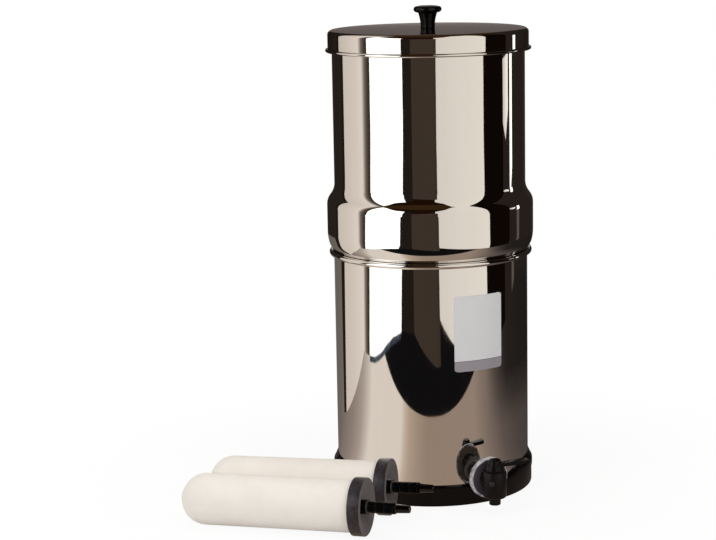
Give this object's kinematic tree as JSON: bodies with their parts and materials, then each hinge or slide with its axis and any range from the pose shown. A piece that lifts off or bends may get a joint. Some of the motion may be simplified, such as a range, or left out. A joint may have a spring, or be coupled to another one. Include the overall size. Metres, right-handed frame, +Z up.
{
  "type": "gravity water filter with tap",
  "caption": "Countertop gravity water filter: two stacked polished steel vessels with a lid, a rotary tap on a black base ring, and ceramic filter candles beside.",
  "frame": {"origin": "on the table under the vessels' common axis, in the plane of the base ring's underside", "axes": "+Z up along the vessels' axis, -Y out along the tap's inlet, +X to the right of someone facing the tap"},
  "size_m": [0.4024, 0.285, 0.5028],
  "materials": {
    "steel": "mirror-polished stainless steel sheet",
    "screw_steel": "turned steel",
    "black_plastic": "gloss black moulding",
    "black_knob": "satin-gloss black moulding",
    "tap_plastic": "satin-gloss black moulding",
    "plug_plastic": "matt moulding",
    "stem_plastic": "gloss black moulding",
    "cap_plastic": "matt dark grey moulding",
    "rubber": "matt black rubber",
    "ceramic": "matt porous cream ceramic",
    "carbon": "pressed carbon granules"
  },
  "bodies": {
    "lower": {"base_ring": "black_plastic", "lower_vessel": "steel", "tap_body": "tap_plastic", "tap_outer_gasket": "rubber", "tap_collar": "tap_plastic", "tap_inner_gasket": "rubber", "tap_nut": "tap_plastic"},
    "upper": {"upper_vessel": "steel"},
    "lid": {"lid": "steel", "lid_knob": "black_knob", "knob_screw": "screw_steel", "knob_washer": "rubber"},
    "tap_lever": {"tap_plug": "plug_plastic", "plug_rings": "rubber", "tap_handle": "tap_plastic"},
    "front_candle": {"front_candle_shell": "ceramic", "front_candle_carbon": "carbon", "front_candle_cap": "cap_plastic", "front_candle_stem": "stem_plastic", "front_candle_washer": "rubber"},
    "back_candle": {"back_candle_shell": "ceramic", "back_candle_carbon": "carbon", "back_candle_cap": "cap_plastic", "back_candle_stem": "stem_plastic", "back_candle_washer": "rubber"}
  },
  "joints": [
    {"name": "upper_lift", "type": "slide", "parent": "lower", "child": "upper", "axis": [0, 0, 1], "range_m": [0, 0.06]},
    {"name": "lid_lift", "type": "slide", "parent": "upper", "child": "lid", "axis": [0, 0, 1], "range_m": [0, 0.05]},
    {"name": "tap_turn", "type": "hinge", "parent": "lower", "child": "tap_lever", "pos_m": [0, -0.1419, 0.0345], "axis": [0, 0, 1], "range_deg": [-90, 0]},
    {"name": "front_candle_lift", "type": "slide", "parent": "lower", "child": "front_candle", "axis": [0, 0, 1], "range_m": [0, 0.06]},
    {"name": "back_candle_lift", "type": "slide", "parent": "lower", "child": "back_candle", "axis": [0, 0, 1], "range_m": [0, 0.06]}
  ]
}
